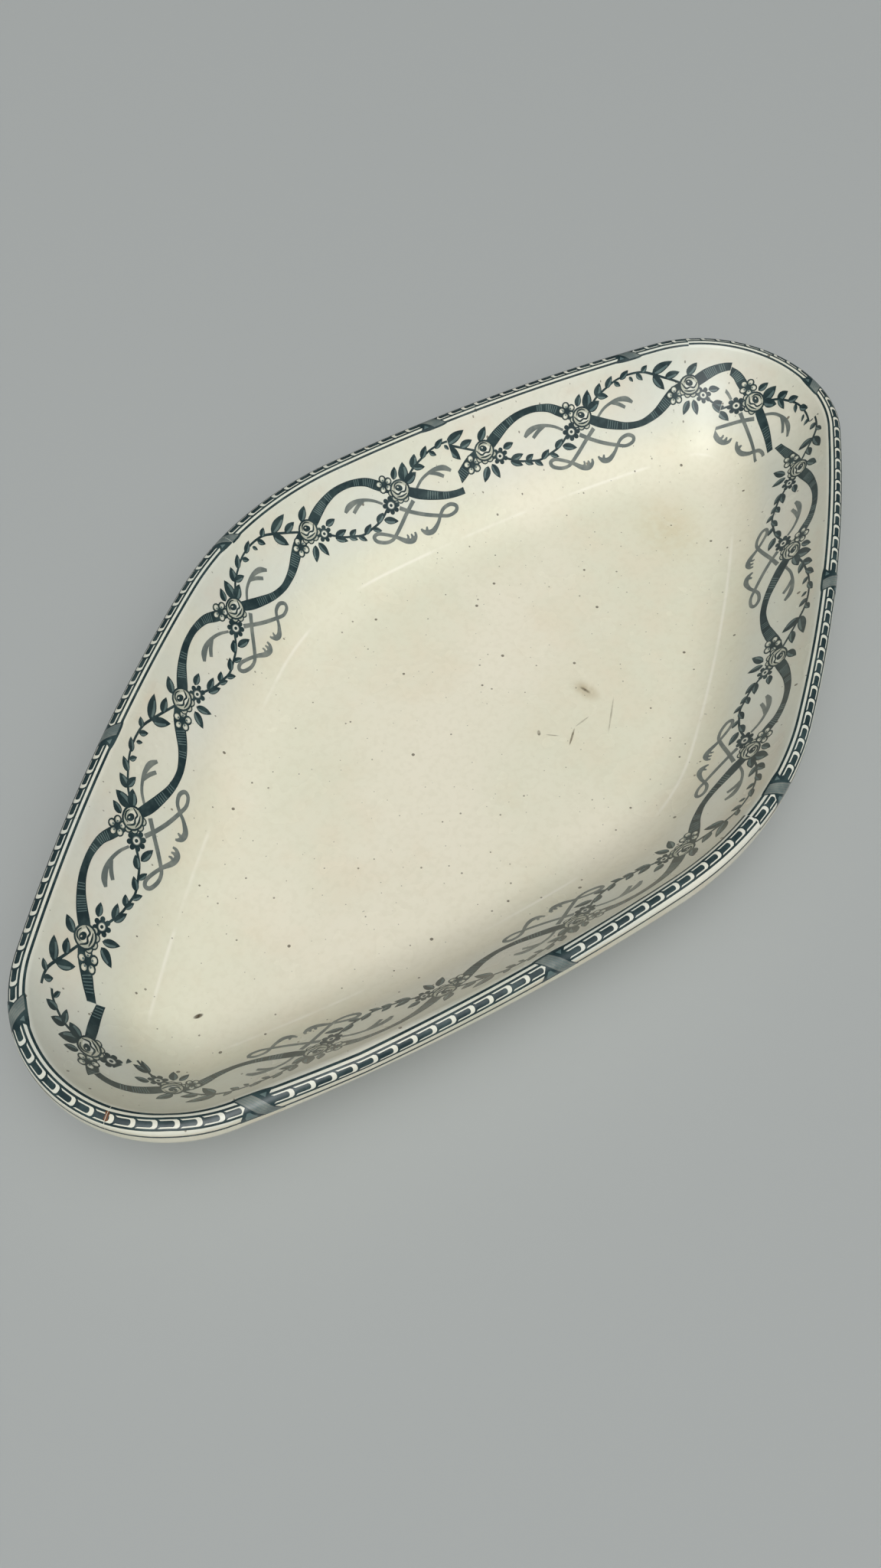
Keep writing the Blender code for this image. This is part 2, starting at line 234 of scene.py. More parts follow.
def outside_profile():
    """(inset, height) from just past the crest over the lip's edge and down the outside to the heel."""
    points = []
    lip_steps = 2 * ROUND_STEPS
    for step in range(1, lip_steps + 1):
        angle = math.pi / 2 * step / lip_steps
        points.append((LIP_REACH * (1 - math.sin(angle)), HEIGHT - LIP_DROP * (1 - math.cos(angle))))
    edge_height = HEIGHT - LIP_DROP - LIP_BAND
    for step in range(ROUND_STEPS + 1):
        angle = math.pi / 2 * step / ROUND_STEPS
        inset = LIP_ROLL_WIDTH * (1 - math.cos(angle))
        points.append((inset, edge_height - LIP_ROLL_DROP * math.sin(angle)))
    under = edge_height - LIP_ROLL_DROP
    bow_centre = bow_point(LIP_SLOPE)[1] + WALL_BOW_RADIUS * math.cos(LIP_SLOPE)
    slope = math.acos((bow_centre - under + LIP_FILLET) / (WALL_BOW_RADIUS + WALL_THICKNESS + LIP_FILLET))
    start = outer_bow_point(slope)[0] - LIP_FILLET * math.sin(slope)
    points += arc_profile((start, under), LIP_FILLET, 0.0, slope)
    for step in range(1, ROUND_STEPS + 1):
        points.append(outer_bow_point(slope + (WALL_SLOPE - slope) * step / ROUND_STEPS))
    return points + arc_profile(heel()[0], HEEL_RADIUS, WALL_SLOPE, 0.0)


def refined(points):
    """The same profile with no step longer than LONGEST_STEP."""
    fine = [points[0]]
    for here, there in zip(points, points[1:]):
        count = max(1, math.ceil(math.dist(here, there) / LONGEST_STEP))
        for step in range(1, count + 1):
            share = step / count
            fine.append((here[0] + (there[0] - here[0]) * share, here[1] + (there[1] - here[1]) * share))
    return fine


def stretch(places, place):
    """Which stretch between rising places this one lies in, and its share of the way along it."""
    number = min(max(bisect.bisect_right(places, place) - 1, 0), len(places) - 2)
    return number, (place - places[number]) / (places[number + 1] - places[number])


class Section:
    """The printed stretch of the section by distance from the crest: plus down the inside, minus outside."""

    def __init__(self):
        inside = refined(inside_profile())[::-1]
        outside = refined(outside_profile())
        runs_in = self.runs(inside)
        runs_out = self.runs([inside[0]] + outside)[1:]
        self.run = [-run for run in reversed(runs_out)] + runs_in
        self.point = outside[::-1] + inside

    @staticmethod
    def runs(points):
        return list(accumulate(map(math.dist, points, points[1:]), initial=0.0))

    def slope(self, number):
        """Unit (inset, height) along the section, downwards inside, at one of its points."""
        low, high = max(number - 1, 0), min(number + 1, len(self.point) - 1)
        change = Vector(self.point[high]) - Vector(self.point[low])
        return change.normalized()

    def at(self, run):
        """Point and outward normal, as (inset, height) vectors."""
        number, share = stretch(self.run, run)
        point = Vector(self.point[number]).lerp(Vector(self.point[number + 1]), share)
        along = self.slope(number).lerp(self.slope(number + 1), share).normalized()
        return point, Vector((-along.y, along.x))


SECTION = Section()


class Line:
    """A line round the dish at a constant inset, for places given as distances from the tip on -X."""

    def __init__(self, inset):
        self.inset = inset
        self.lengths = [(radius - inset) * sweep for _, radius, _, sweep in ARCS]
        self.total = sum(self.lengths)

    def place(self, distance):
        """Centre of the arc there, its radius and the angle."""
        rest = distance % self.total
        for (centre, radius, start, sweep), length in zip(ARCS, self.lengths):
            if rest <= length:
                return centre, radius, start + sweep * rest / length
            rest -= length
        return ARCS[0][:3]

    def lay(self, distance, run, lift):
        """The point of the dish's surface at this distance along and run across, raised by lift."""
        centre, radius, angle = self.place(distance)
        point, normal = SECTION.at(run)
        reach = radius - point.x - normal.x * lift
        height = point.y + normal.y * lift
        return Vector((centre.x + reach * math.cos(angle), centre.y + reach * math.sin(angle), height))


def linear(red, green, blue):
    """Linear colour of an 0 to 255 display colour."""
    channels = []
    for value in (red, green, blue):
        value /= 255
        channels.append(value / 12.92 if value <= 0.04045 else ((value + 0.055) / 1.055) ** 2.4)
    return (*channels, 1.0)


class Nodes:
    """A node tree that is wired by short calls."""

    def __init__(self, tree):
        self.nodes, self.links = tree.nodes, tree.links
        self.coordinates = self.node("TexCoord")

    def node(self, kind, inputs=None, **settings):
        """A new node's outputs, with its settings made and its inputs set or linked."""
        node = self.nodes.new("ShaderNode" + kind)
        for name, value in settings.items():
            setattr(node, name, value)
        for name, value in (inputs or {}).items():
            if isinstance(value, bpy.types.NodeSocket):
                self.links.new(value, node.inputs[name])
            else:
                node.inputs[name].default_value = value
        return node.outputs

    def maths(self, operation, *values):
        return self.node("Math", dict(enumerate(values)), operation=operation)[0]


class Shader(Nodes):
    """A Principled material."""

    def __init__(self, name):
        self.material = bpy.data.materials.new(name)
        self.material.use_nodes = True
        super().__init__(self.material.node_tree)
        self.principled = self.nodes["Principled BSDF"].inputs
        self.position = self.coordinates["Object"]

    def noise(self, scale, detail, rough):
        inputs = {"Vector": self.position, "Scale": scale, "Detail": detail, "Roughness": rough}
        return self.node("TexNoise", inputs)["Fac"]

    def ramp(self, value, low, high, to_low=0.0, to_high=1.0):
        inputs = {"Value": value, "From Min": low, "From Max": high, "To Min": to_low, "To Max": to_high}
        return self.node("MapRange", inputs, interpolation_type="SMOOTHSTEP")["Result"]

    def patches(self, pattern, least=0.0, most=1.0):
        """Soft patches of noise, from least off them to most on them."""
        scale, detail, rough, low, high = pattern
        return self.ramp(self.noise(scale, detail, rough), low, high, least, most)

    def times(self, first, second):
        return self.maths("MULTIPLY", first, second)

    def mix(self, share, first, second):
        return self.node("Mix", {"Factor": share, "A": first, "B": second}, data_type="RGBA")["Result"]

    def tint(self, colour, share, tone):
        return self.mix(share, colour, linear(*tone))

    def height(self):
        return self.node("SeparateXYZ", {0: self.position})["Z"]

    def facing(self):
        """How far a face looks up: 1 where it lies level, 0 where it stands upright."""
        normal = self.node("NewGeometry")["Normal"]
        return self.node("SeparateXYZ", {0: normal})["Z"]

    def specks(self, scale, share, size):
        """Round specks off the steep faces, in a share of the plan's cells and up to size metres across."""
        inputs = {"Vector": self.position, "Scale": scale}
        cells = self.node("TexVoronoi", inputs, voronoi_dimensions="2D")
        chance = self.node("SeparateColor", {0: cells["Color"]})[0]
        largest = size / 2 * scale
        radius = self.ramp(chance, 1 - share, 1.0, largest * SMALLEST_SPECK, largest)
        chosen = self.maths("GREATER_THAN", chance, 1 - share)
        inside = self.maths("LESS_THAN", cells["Distance"], self.times(radius, chosen))
        level = self.maths("GREATER_THAN", self.maths("ABSOLUTE", self.facing()), LEAST_LEVEL)
        return self.times(inside, level)

    def streak(self, place, turn, length, width, core):
        """A soft mask over a long mark at a place of the well, full out to its core."""
        inputs = {
            "Vector": self.position,
            "Location": (*place, FLOOR_HEIGHT),
            "Rotation": (0.0, 0.0, turn),
            "Scale": (length / 2, width / 2, length),
        }
        placed = self.node("Mapping", inputs, vector_type="TEXTURE")["Vector"]
        reach = self.node("VectorMath", {0: placed}, operation="LENGTH")["Value"]
        return self.ramp(reach, core, 1.0, 1.0, 0.0)

    def bump(self, height, distance):
        normal = self.node("Bump", {"Height": height, "Distance": distance})["Normal"]
        self.links.new(normal, self.principled["Normal"])


# Marks of use in the well, as place, turn, length, width, core, strength and colour
CLOUD = (206, 186, 142)
SMUDGE = (158, 134, 88)
SCRATCH = (112, 100, 80)
SPOT = (66, 54, 38)
WELL_MARKS = (
    ((0.0830, -0.0020), 0.80, 0.0380, 0.0270, 0.0, 0.34, CLOUD),
    ((0.0223, -0.0153), 1.43, 0.0110, 0.0064, 0.0, 0.55, SMUDGE),
    ((0.0223, -0.0153), 1.52, 0.0040, 0.0012, 0.2, 0.85, SPOT),
    ((0.0136, -0.0202), 2.94, 0.0051, 0.0005, 0.6, 0.70, SCRATCH),
    ((0.0082, -0.0208), 0.36, 0.0062, 0.0006, 0.6, 0.90, SCRATCH),
    ((0.0195, -0.0247), 0.46, 0.0128, 0.0005, 0.6, 0.50, SCRATCH),
    ((0.0044, -0.0137), 0.70, 0.0022, 0.0011, 0.6, 0.85, SPOT),
    ((0.0058, -0.0168), -1.04, 0.0039, 0.0004, 0.6, 0.60, SCRATCH),
    ((-0.1013, 0.0005), -0.50, 0.0026, 0.0011, 0.6, 1.00, SPOT),
)
# Specks in the glaze, as cells to the metre, share of cells, greatest size and strength
SPECKS = ((105.0, 0.34, 0.0008, 0.78), (230.0, 0.16, 0.0005, 0.66), (480.0, 0.10, 0.0003, 0.5))
SPECK_COLOUR = (78, 68, 52)
SMALLEST_SPECK = 0.25
# Specks are left off faces steeper than this upward part of their normal
LEAST_LEVEL = 0.45
# Patterns of soft patches: scale to the metre, detail, roughness, and the noise where they start and are full
MOTTLES = (22.0, 3.0, 0.5, 0.35, 0.68)
CLOUDS = (48.0, 4.0, 0.6, 0.45, 0.75)
GRAIN = (650.0, 3.0, 0.5, 0.42, 0.7)
STAINS = (34.0, 5.0, 0.62, 0.46, 0.66)
BLEEDS = (30.0, 3.0, 0.5, 0.3, 0.7)
PAINTED_HIGHLIGHT_BREAKS = (40.0, 3.0, 0.5, 0.42, 0.58)
MARK_BREAKS = (420.0, 3.0, 0.5, 0.3, 0.6)
WEAR = (70.0, 3.0, 0.5, 0.3, 0.75)
CLAY_GRAIN = (900.0, 4.0, 0.65, 0.3, 0.7)
CLAY_DIRT = (60.0, 4.0, 0.5, 0.5, 0.72)
INK_PULL = (260.0, 4.0, 0.6, 0.38, 0.74)
# Colours and strengths of the glaze's layers
CREAM, COOL_CREAM = (233, 227, 207), (225, 223, 201)
CLOUD_COLOUR, CLOUD_STRENGTH = (230, 215, 190), 0.35
GRAIN_COLOUR, GRAIN_STRENGTH = (205, 198, 172), 0.16
# Stains come in up the wall and go out over the lip
STAIN_COLOUR, STAIN_STRENGTH = (222, 200, 170), 0.55
STAIN_RISE, STAIN_TOP = (0.016, 0.031), (0.0310, 0.0332)
# The print's colour bled into the glaze about it, over these heights and facings
BLEED_COLOUR, BLEED_STRENGTH = (203, 211, 212), (0.20, 0.45)
BLEED_HEIGHTS, BLEED_FACING = (0.0135, 0.0215), (0.1, 0.4)
# A painted highlight along the cove: a pale broken line a little above the floor's edge
PAINTED_HIGHLIGHT_COLOUR, PAINTED_HIGHLIGHT_STRENGTH = (246, 242, 228), 0.6
PAINTED_HIGHLIGHT_RISE, PAINTED_HIGHLIGHT_WIDTH = 0.0022, 0.0003
# Gloss of the glaze, also over the print, and its ripples
GLAZE_SPECULAR = 0.34
GLAZE_ROUGHNESS = (0.18, 0.30)
RIPPLES, RIPPLE_DEPTH = (85.0, 2.0, 0.5), 0.00012
# Bare clay
CLAY, PALE_CLAY = (196, 178, 146), (214, 199, 170)
DIRT_COLOUR, DIRT_STRENGTH = (150, 132, 104), 0.5
CLAY_ROUGHNESS, CLAY_DEPTH = 0.75, 0.00008


def gloss(shader):
    shader.principled["Specular IOR Level"].default_value = GLAZE_SPECULAR
    shader.links.new(shader.patches(WEAR, *GLAZE_ROUGHNESS), shader.principled["Roughness"])


def glaze_material():
    """Cream lead glaze: mottled, stained near the lip, speckled, marked by use, glossy, with a painted
    highlight in the cove.
    """
    shader = Shader("cream_glaze")
    colour = shader.mix(shader.patches(MOTTLES), linear(*CREAM), linear(*COOL_CREAM))
    colour = shader.tint(colour, shader.patches(CLOUDS, 0.0, CLOUD_STRENGTH), CLOUD_COLOUR)
    colour = shader.tint(colour, shader.patches(GRAIN, 0.0, GRAIN_STRENGTH), GRAIN_COLOUR)
    stain = shader.times(shader.patches(STAINS), shader.ramp(shader.height(), *STAIN_RISE))
    stain = shader.times(stain, shader.ramp(shader.height(), *STAIN_TOP, STAIN_STRENGTH, 0.0))
    colour = shader.tint(colour, stain, STAIN_COLOUR)
    printed = shader.ramp(shader.height(), *BLEED_HEIGHTS)
    printed = shader.times(printed, shader.ramp(shader.facing(), *BLEED_FACING))
    bleed = shader.times(printed, shader.patches(BLEEDS, *BLEED_STRENGTH))
    colour = shader.tint(colour, bleed, BLEED_COLOUR)
    # Painted highlight: a pale broken line along the cove, just above the floor's edge
    rise = shader.maths("SUBTRACT", shader.height(), FLOOR_HEIGHT + PAINTED_HIGHLIGHT_RISE)
    painted_highlight = shader.ramp(shader.maths("ABSOLUTE", rise), 0.0, PAINTED_HIGHLIGHT_WIDTH, 1.0, 0.0)
    painted_highlight = shader.times(painted_highlight, shader.patches(PAINTED_HIGHLIGHT_BREAKS, 0.0, PAINTED_HIGHLIGHT_STRENGTH))
    colour = shader.tint(colour, painted_highlight, PAINTED_HIGHLIGHT_COLOUR)
    for place, turn, length, width, core, strength, tone in WELL_MARKS:
        mark = shader.streak(place, turn, length, width, core)
        mark = shader.times(mark, shader.patches(MARK_BREAKS, strength / 2, strength))
        colour = shader.tint(colour, mark, tone)
    for scale, share, size, strength in SPECKS:
        specks = shader.times(shader.specks(scale, share, size), strength)
        colour = shader.tint(colour, specks, SPECK_COLOUR)
    shader.links.new(colour, shader.principled["Base Color"])
    gloss(shader)
    shader.bump(shader.noise(*RIPPLES), RIPPLE_DEPTH)
    return shader.material


def biscuit_material():
    """Bare fired clay, rubbed and darkened on its standing edge."""
    shader = Shader("bare_biscuit")
    grain = shader.patches(CLAY_GRAIN)
    colour = shader.mix(grain, linear(*CLAY), linear(*PALE_CLAY))
    colour = shader.tint(colour, shader.patches(CLAY_DIRT, 0.0, DIRT_STRENGTH), DIRT_COLOUR)
    shader.links.new(colour, shader.principled["Base Color"])
    shader.principled["Roughness"].default_value = CLAY_ROUGHNESS
    shader.bump(grain, CLAY_DEPTH)
    return shader.material


def print_material(name, full, thin):
    """Printed colour under the glaze, uneven from place to place."""
    shader = Shader(name)
    colour = shader.mix(shader.patches(INK_PULL), linear(*full), linear(*thin))
    shader.links.new(colour, shader.principled["Base Color"])
    gloss(shader)
    return shader.material


GLAZE = glaze_material()
BISCUIT = biscuit_material()
TONES = (
    print_material("ink_dark", (38, 54, 57), (60, 77, 78)),
    print_material("ink_tint", (86, 105, 105), (112, 128, 124)),
    print_material("ink_scroll", (102, 110, 107), (132, 137, 130)),
    GLAZE,
    print_material("rust_chip", (112, 72, 46), (84, 54, 38)),
    print_material("ink_wash", (180, 182, 166), (196, 195, 177)),
)


def add_piece(name, mesh, materials, slot, *nodes):
    """A finished piece on the model's one body, standing for these of its nodes."""
    data = bpy.data.meshes.new(name)
    mesh.to_mesh(data)
    mesh.free()
    for material in materials:
        data.materials.append(material)
    data.shade_smooth()
    piece = bpy.data.objects.new(name, data)
    bpy.context.scene.collection.objects.link(piece)
    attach(piece, "root")
    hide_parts(*nodes)


def loft(mesh, rings):
    loops = [[mesh.verts.new(point) for point in points] for points in rings]
    for lower, upper in zip(loops, loops[1:]):
        for here in range(len(lower)):
            there = (here + 1) % len(lower)
            mesh.faces.new((lower[here], lower[there], upper[there], upper[here]))
    return loops


def cap(mesh, loop):
    """Closes a ring with a fan about its middle."""
    middle = sum((vertex.co for vertex in loop), Vector()) / len(loop)
    centre = mesh.verts.new(middle)
    for here, there in zip(loop, loop[1:] + loop[:1]):
        mesh.faces.new((centre, here, there))


def inner_disc(edge, count, drop):
    """Rings from near the middle out to just short of an edge ring, dished by drop."""
    rings = []
    for step in range(1, count):
        share = step / count
        lower = Vector((0, 0, drop * (1 - share**2)))
        rings.append([Vector((point.x * share, point.y * share, point.z)) - lower for point in edge])
    return rings


def make_body():
    mesh = bmesh.new()
    profile = refined(inside_profile() + outside_profile())
    rings = [ring(inset, height) for inset, height in profile]
    rings = inner_disc(rings[0], FLOOR_RINGS, FLOOR_DISH) + rings
    rings += inner_disc(rings[-1], UNDER_RINGS, 0.0)[::-1]
    loops = loft(mesh, rings)
    cap(mesh, loops[0])
    cap(mesh, loops[-1])
    bmesh.ops.recalc_face_normals(mesh, faces=mesh.faces)
    add_piece("glazed_body", mesh, (GLAZE,), "cream_glaze", "dish_body")


def make_foot():
    """The foot ring: glazed sides, bare where it stands."""
    top = UNDERSIDE_HEIGHT - SEAT_GAP
    outer = heel()[1][0]
    inner = outer + FOOT_WIDTH
    profile = [(outer, top), (outer + FOOT_TAPER / 2, (top + FOOT_EDGE) / 2)]
    for step in range(EDGE_STEPS + 1):
        angle = math.pi / 2 * step / EDGE_STEPS
        inset = outer + FOOT_TAPER + FOOT_EDGE * (1 - math.cos(angle))
        profile.append((inset, FOOT_EDGE * (1 - math.sin(angle))))
    profile += [(outer + inner - inset, height) for inset, height in reversed(profile)]
    mesh = bmesh.new()
    loops = loft(mesh, [ring(inset, height) for inset, height in profile + profile[:1]])
    bmesh.ops.remove_doubles(mesh, verts=loops[0] + loops[-1], dist=1e-6)
    for face in mesh.faces:
        face.material_index = 1 if face.calc_center_median().z < FOOT_EDGE else 0
    bmesh.ops.recalc_face_normals(mesh, faces=mesh.faces)
    add_piece("standing_foot", mesh, (GLAZE, BISCUIT), "bare_biscuit", "foot_ring")


def smooth(points, steps=6):
    """A smooth curve through points (Catmull-Rom), for all the numbers that each point has."""
    ends = [points[0]] + list(points) + [points[-1]]
    found = []
    for before, start, end, after in zip(ends, ends[1:], ends[2:], ends[3:]):
        for step in range(steps):
            t = step / steps
            place = []
            for a, b, c, d in zip(before, start, end, after):
                bend = 2 * a - 5 * b + 4 * c - d + t * (3 * (b - c) + d - a)
                place.append(b + t / 2 * (c - a + t * bend))
            found.append(tuple(place))
    return found + [tuple(points[-1])]


class Strip:
    """One printed strip: flat shapes in millimetres, later ones over earlier, cut and laid on the dish."""

    def __init__(self, line, start, end, along, across, step_along, step_across):
        self.line = line
        self.start, self.end = start, end
        self.along, self.across = along, across
        self.step_along, self.step_across = step_along, step_across
        self.outlines = []
        self.cells = {}

    def add(self, outline, triangles, tone):
        """One shape over all that is drawn so far: its outline to cut along, and triangles that fill it."""
        low, high = min(x for x, _ in outline), max(x for x, _ in outline)
        if high < self.start or low > self.end:
            return
        self.outlines.append(outline)
        for corners in triangles:
            (ax, ay), (bx, by), (cx, cy) = corners
            area = (bx - ax) * (cy - ay) - (cx - ax) * (by - ay)
            if abs(area) < LEAST_AREA:
                continue
            entry = (tone, corners if area > 0 else corners[::-1])
            for cell in range(math.floor(min(ax, bx, cx)), math.floor(max(ax, bx, cx)) + 1):
                self.cells.setdefault(cell, []).append(entry)

    def tone_at(self, x, y):
        """The tone drawn last at a place, or bare glaze."""
        for tone, ((ax, ay), (bx, by), (cx, cy)) in reversed(self.cells.get(math.floor(x), ())):
            if (
                (bx - ax) * (y - ay) >= (by - ay) * (x - ax)
                and (cx - bx) * (y - by) >= (cy - by) * (x - bx)
                and (ax - cx) * (y - cy) >= (ay - cy) * (x - cx)
            ):
                return tone
        return BARE

    def shape(self, points, tone):
        """A filled outline that its middle sees all of."""
        placed = [(self.along(x, y), y) for x, y in points]
        middle = (sum(x for x, _ in placed) / len(placed), sum(y for _, y in placed) / len(placed))
        edges = zip(placed, placed[1:] + placed[:1])
        self.add(placed, [(middle, here, there) for here, there in edges], tone)

    def stroke(self, path, tone, steps=6):
        """A brush line along (x, y, width) points."""
        line = smooth(path, steps)
        left, right = [], []
        for number, (x, y, width) in enumerate(line):
            before, after = line[max(number - 1, 0)], line[min(number + 1, len(line) - 1)]
            along = Vector((after[0] - before[0], after[1] - before[1]))
            side = Vector((-along.y, along.x)).normalized() * width / 2
            left.append((self.along(x + side.x, y + side.y), y + side.y))
            right.append((self.along(x - side.x, y - side.y), y - side.y))
        triangles = []
        for a, b, c, d in zip(left, right, left[1:], right[1:]):
            triangles += [(a, b, c), (c, b, d)]
        self.add(left + right[::-1], triangles, tone)

    def oval(self, x, y, wide, high, turn, tone, count=16):
        points = []
        for step in range(count):
            angle = 2 * math.pi * step / count
            px, py = wide * math.cos(angle), high * math.sin(angle)
            along = px * math.cos(turn) - py * math.sin(turn)
            points.append((x + along, y + px * math.sin(turn) + py * math.cos(turn)))
        self.shape(points, tone)

    def flattened(self):
        """One flat layer: where shapes overlap the last drawn wins, and bare glaze leaves a hole."""
        points, edges = [], []
        for outline in self.outlines:
            first = len(points)
            points += [Vector(point) for point in outline]
            places = list(range(first, len(points)))
            edges += list(zip(places, places[1:] + places[:1]))
        found, _, triangles, _, _, _ = delaunay_2d_cdt(points, edges, [], 0, FLAT_ERROR, False)
        sheet = bmesh.new()
        corners = [sheet.verts.new((point.x, point.y, 0)) for point in found]
        for triangle in triangles:
            middle = sum((found[number] for number in triangle), Vector((0, 0))) / 3
            tone = self.tone_at(middle.x, middle.y)
            if tone != BARE:
                sheet.faces.new([corners[number] for number in triangle]).material_index = tone
        bmesh.ops.dissolve_limit(
            sheet, angle_limit=FLAT_ANGLE, verts=sheet.verts, edges=sheet.edges, delimit={"MATERIAL"}
        )
        return sheet

    def slice(self, sheet, axis, low, high, step):
        """Cuts the flat layer finely enough to follow the dish, and off at both ends of the strip."""
        direction = Vector((1, 0, 0)) if axis == 0 else Vector((0, 1, 0))
        count = max(1, math.ceil((high - low) / step))
        for number in range(count + 1):
            bmesh.ops.bisect_plane(
                sheet,
                geom=sheet.verts[:] + sheet.edges[:] + sheet.faces[:],
                dist=FLAT_ERROR,
                plane_co=direction * (low + (high - low) * number / count),
                plane_no=direction,
                clear_inner=axis == 0 and number == 0,
                clear_outer=axis == 0 and number == count,
            )

    def map_place(self, vertex, tone):
        """A vertex's place in the texture map: along the strip, and across it in its tone's band."""
        along = (vertex.co.x - self.start) / (self.end - self.start)
        across = (vertex.co.y - self.low) / (self.high - self.low)
        bottom, top = MAP_BANDS[tone]
        return Vector((MAP_EDGE + (1 - 2 * MAP_EDGE) * along, bottom + (top - bottom) * across))

    def film(self, sheet):
        """The cut layer laid on the dish as a closed film, with a top, an underside and rims."""
        film = bmesh.new()
        tops, lows = {}, {}
        for vertex in sheet.verts:
            distance, run = vertex.co.x * MM, self.across(vertex.co.x, vertex.co.y) * MM
            tops[vertex] = film.verts.new(self.line.lay(distance, run, PRINT_LIFT * MM))
            lows[vertex] = film.verts.new(self.line.lay(distance, run, -PRINT_DEPTH * MM))
        layer = film.loops.layers.uv.new(MAP_NAME)

        def face(corners, tone):
            made = film.faces.new([side[vertex] for side, vertex, _ in corners])
            made.material_index = tone
            for loop, (_, vertex, shift) in zip(made.loops, corners):
                loop[layer].uv = self.map_place(vertex, tone) + Vector((shift, shift))
            return made

        for flat in sheet.faces:
            face([(tops, vertex, 0.0) for vertex in flat.verts], flat.material_index)
            face([(lows, vertex, 0.0) for vertex in reversed(flat.verts)], flat.material_index)
        for edge in sheet.edges:
            if edge.is_boundary:
                first, last = edge.link_loops[0].vert, edge.link_loops[0].link_loop_next.vert
                below = [(lows, first, MAP_RIM), (lows, last, MAP_RIM)]
                above = [(tops, last, 0.0), (tops, first, 0.0)]
                for side in face(below + above, edge.link_faces[0].material_index).edges:
                    side.smooth = False
        bmesh.ops.recalc_face_normals(film, faces=film.faces)
        return film

    def finish(self, name, node):
        """Cuts the layer to the strip and puts its film in the node's place."""
        sheet = self.flattened()
        self.slice(sheet, 0, self.start, self.end, self.step_along)
        heights = [vertex.co.y for vertex in sheet.verts]
        self.low, self.high = min(heights), max(heights)
        self.slice(sheet, 1, self.low, self.high, self.step_across)
        loose = [vertex for vertex in sheet.verts if not vertex.link_faces]
        bmesh.ops.delete(sheet, geom=loose, context="VERTS")
        bmesh.ops.triangulate(sheet, faces=sheet.faces)
        add_piece(name, self.film(sheet), TONES, "teal_print", node)
        sheet.free()


# Printed leaves, stems and scrolls swell past their drawn widths
LEAF_FULLNESS = 1.25
STEM_FULLNESS = 1.5
SCROLL_FULLNESS = 1.3
# A leaf's blade: steps along it, how far back it is widest and how full, and its vein and lighter half
LEAF_STEPS = 8
LEAF_SKEW = 0.8
LEAF_SWELL = 0.85
VEIN_SHARE = 0.12
LIGHT_EDGE = 0.28
LIGHT_VEIN = 0.1


def leaf(strip, base, tip, width):
    """A pointed leaf, dark, with one half of its blade lighter."""
    axis = Vector(tip) - Vector(base)
    side = Vector((-axis.y, axis.x)).normalized() * width * LEAF_FULLNESS / 2
    left, right, vein = [], [], []
    for step in range(LEAF_STEPS + 1):
        share = step / LEAF_STEPS
        swell = math.sin(math.pi * share**LEAF_SKEW) ** LEAF_SWELL if 0 < step < LEAF_STEPS else 0.0
        middle = Vector(base) + axis * share
        left.append(middle + side * swell)
        right.append(middle - side * swell)
        vein.append(middle + side * swell * VEIN_SHARE)
    strip.shape([tuple(point) for point in right + left[-2:0:-1]], INK)
    pairs = list(zip(left[1:-2], vein[1:-2]))
    blade = [outer.lerp(inner, LIGHT_EDGE) for outer, inner in pairs]
    back = [inner.lerp(outer, LIGHT_VEIN) for outer, inner in pairs]
    strip.shape([tuple(point) for point in blade + back[::-1]], TINT)


# Flowers in shares of their radius: petals as reach, width and tone, rings as radius, tone and corners
PETAL_ROUND = 0.94
PETAL_CORNERS = 12
PALE_COUNT, PALE_TURN = 5, 0.3
PALE_PETALS = ((0.56, 0.48, INK), (0.62, 0.28, WASH), (0.68, 0.18, BARE), (0.46, 0.11, TINT))
PALE_RINGS = ((0.34, INK, 10),)
DARK_TURN = 0.2
DARK_PETALS = ((0.68, 0.27, INK),)
DARK_RINGS = ((0.62, INK, 16), (0.4, SCROLL, 16), (0.33, BARE, 16), (0.17, INK, 10))


def petals(strip, x, y, radius, angle, layers):
    """One round petal of a flower about (x, y), in layers from its outline inwards."""
    for reach, wide, tone in layers:
        px = x + radius * reach * math.cos(angle)
        py = y + radius * reach * math.sin(angle)
        strip.oval(px, py, radius * wide, radius * wide * PETAL_ROUND, angle, tone, PETAL_CORNERS)


def flower(strip, x, y, radius, count, turn, layers, rings):
    for number in range(count):
        petals(strip, x, y, radius, turn + 2 * math.pi * number / count, layers)
    for share, tone, corners in rings:
        strip.oval(x, y, radius * share, radius * share, 0.0, tone, corners)


# Folds of a rose's petals, as places and widths in shares of its radius
ROSE_FOLDS = (
    ((-0.76, 0.26, 0.08), (-0.44, -0.26, 0.17), (-0.06, -0.2, 0.14), (0.36, -0.3, 0.18), (0.76, 0.24, 0.08)),
    ((-0.52, -0.5, 0.07), (0.02, -0.58, 0.17), (0.54, -0.5, 0.07)),
    ((-0.46, 0.5, 0.07), (-0.14, 0.7, 0.14), (0.28, 0.62, 0.16), (0.5, 0.26, 0.07)),
)
COLLAR_STEPS = (-0.9, -0.3, 0.3, 0.9)
COLLAR_PETALS = ((0.86, 0.4, INK), (0.9, 0.25, WASH))
# Its discs under the folds and its heart over them, as place, half widths, turn, tone and corners
ROSE_DISCS = (
    (0.0, 0.0, 1.0, 0.98, 0.0, INK, 20),
    (0.0, 0.0, 0.83, 0.81, 0.0, WASH, 20),
    (-0.1, -0.02, 0.56, 0.5, 0.3, BARE, 16),
)
ROSE_HEART = ((0.04, 0.2, 0.38, 0.29, 0.5, INK, 12), (0.1, 0.3, 0.1, 0.06, 0.5, BARE, 8))
FOLD_STEPS = 4


def discs(strip, x, y, radius, found):
    for a, b, wide, high, turn, tone, corners in found:
        strip.oval(x + radius * a, y + radius * b, radius * wide, radius * high, turn, tone, corners)


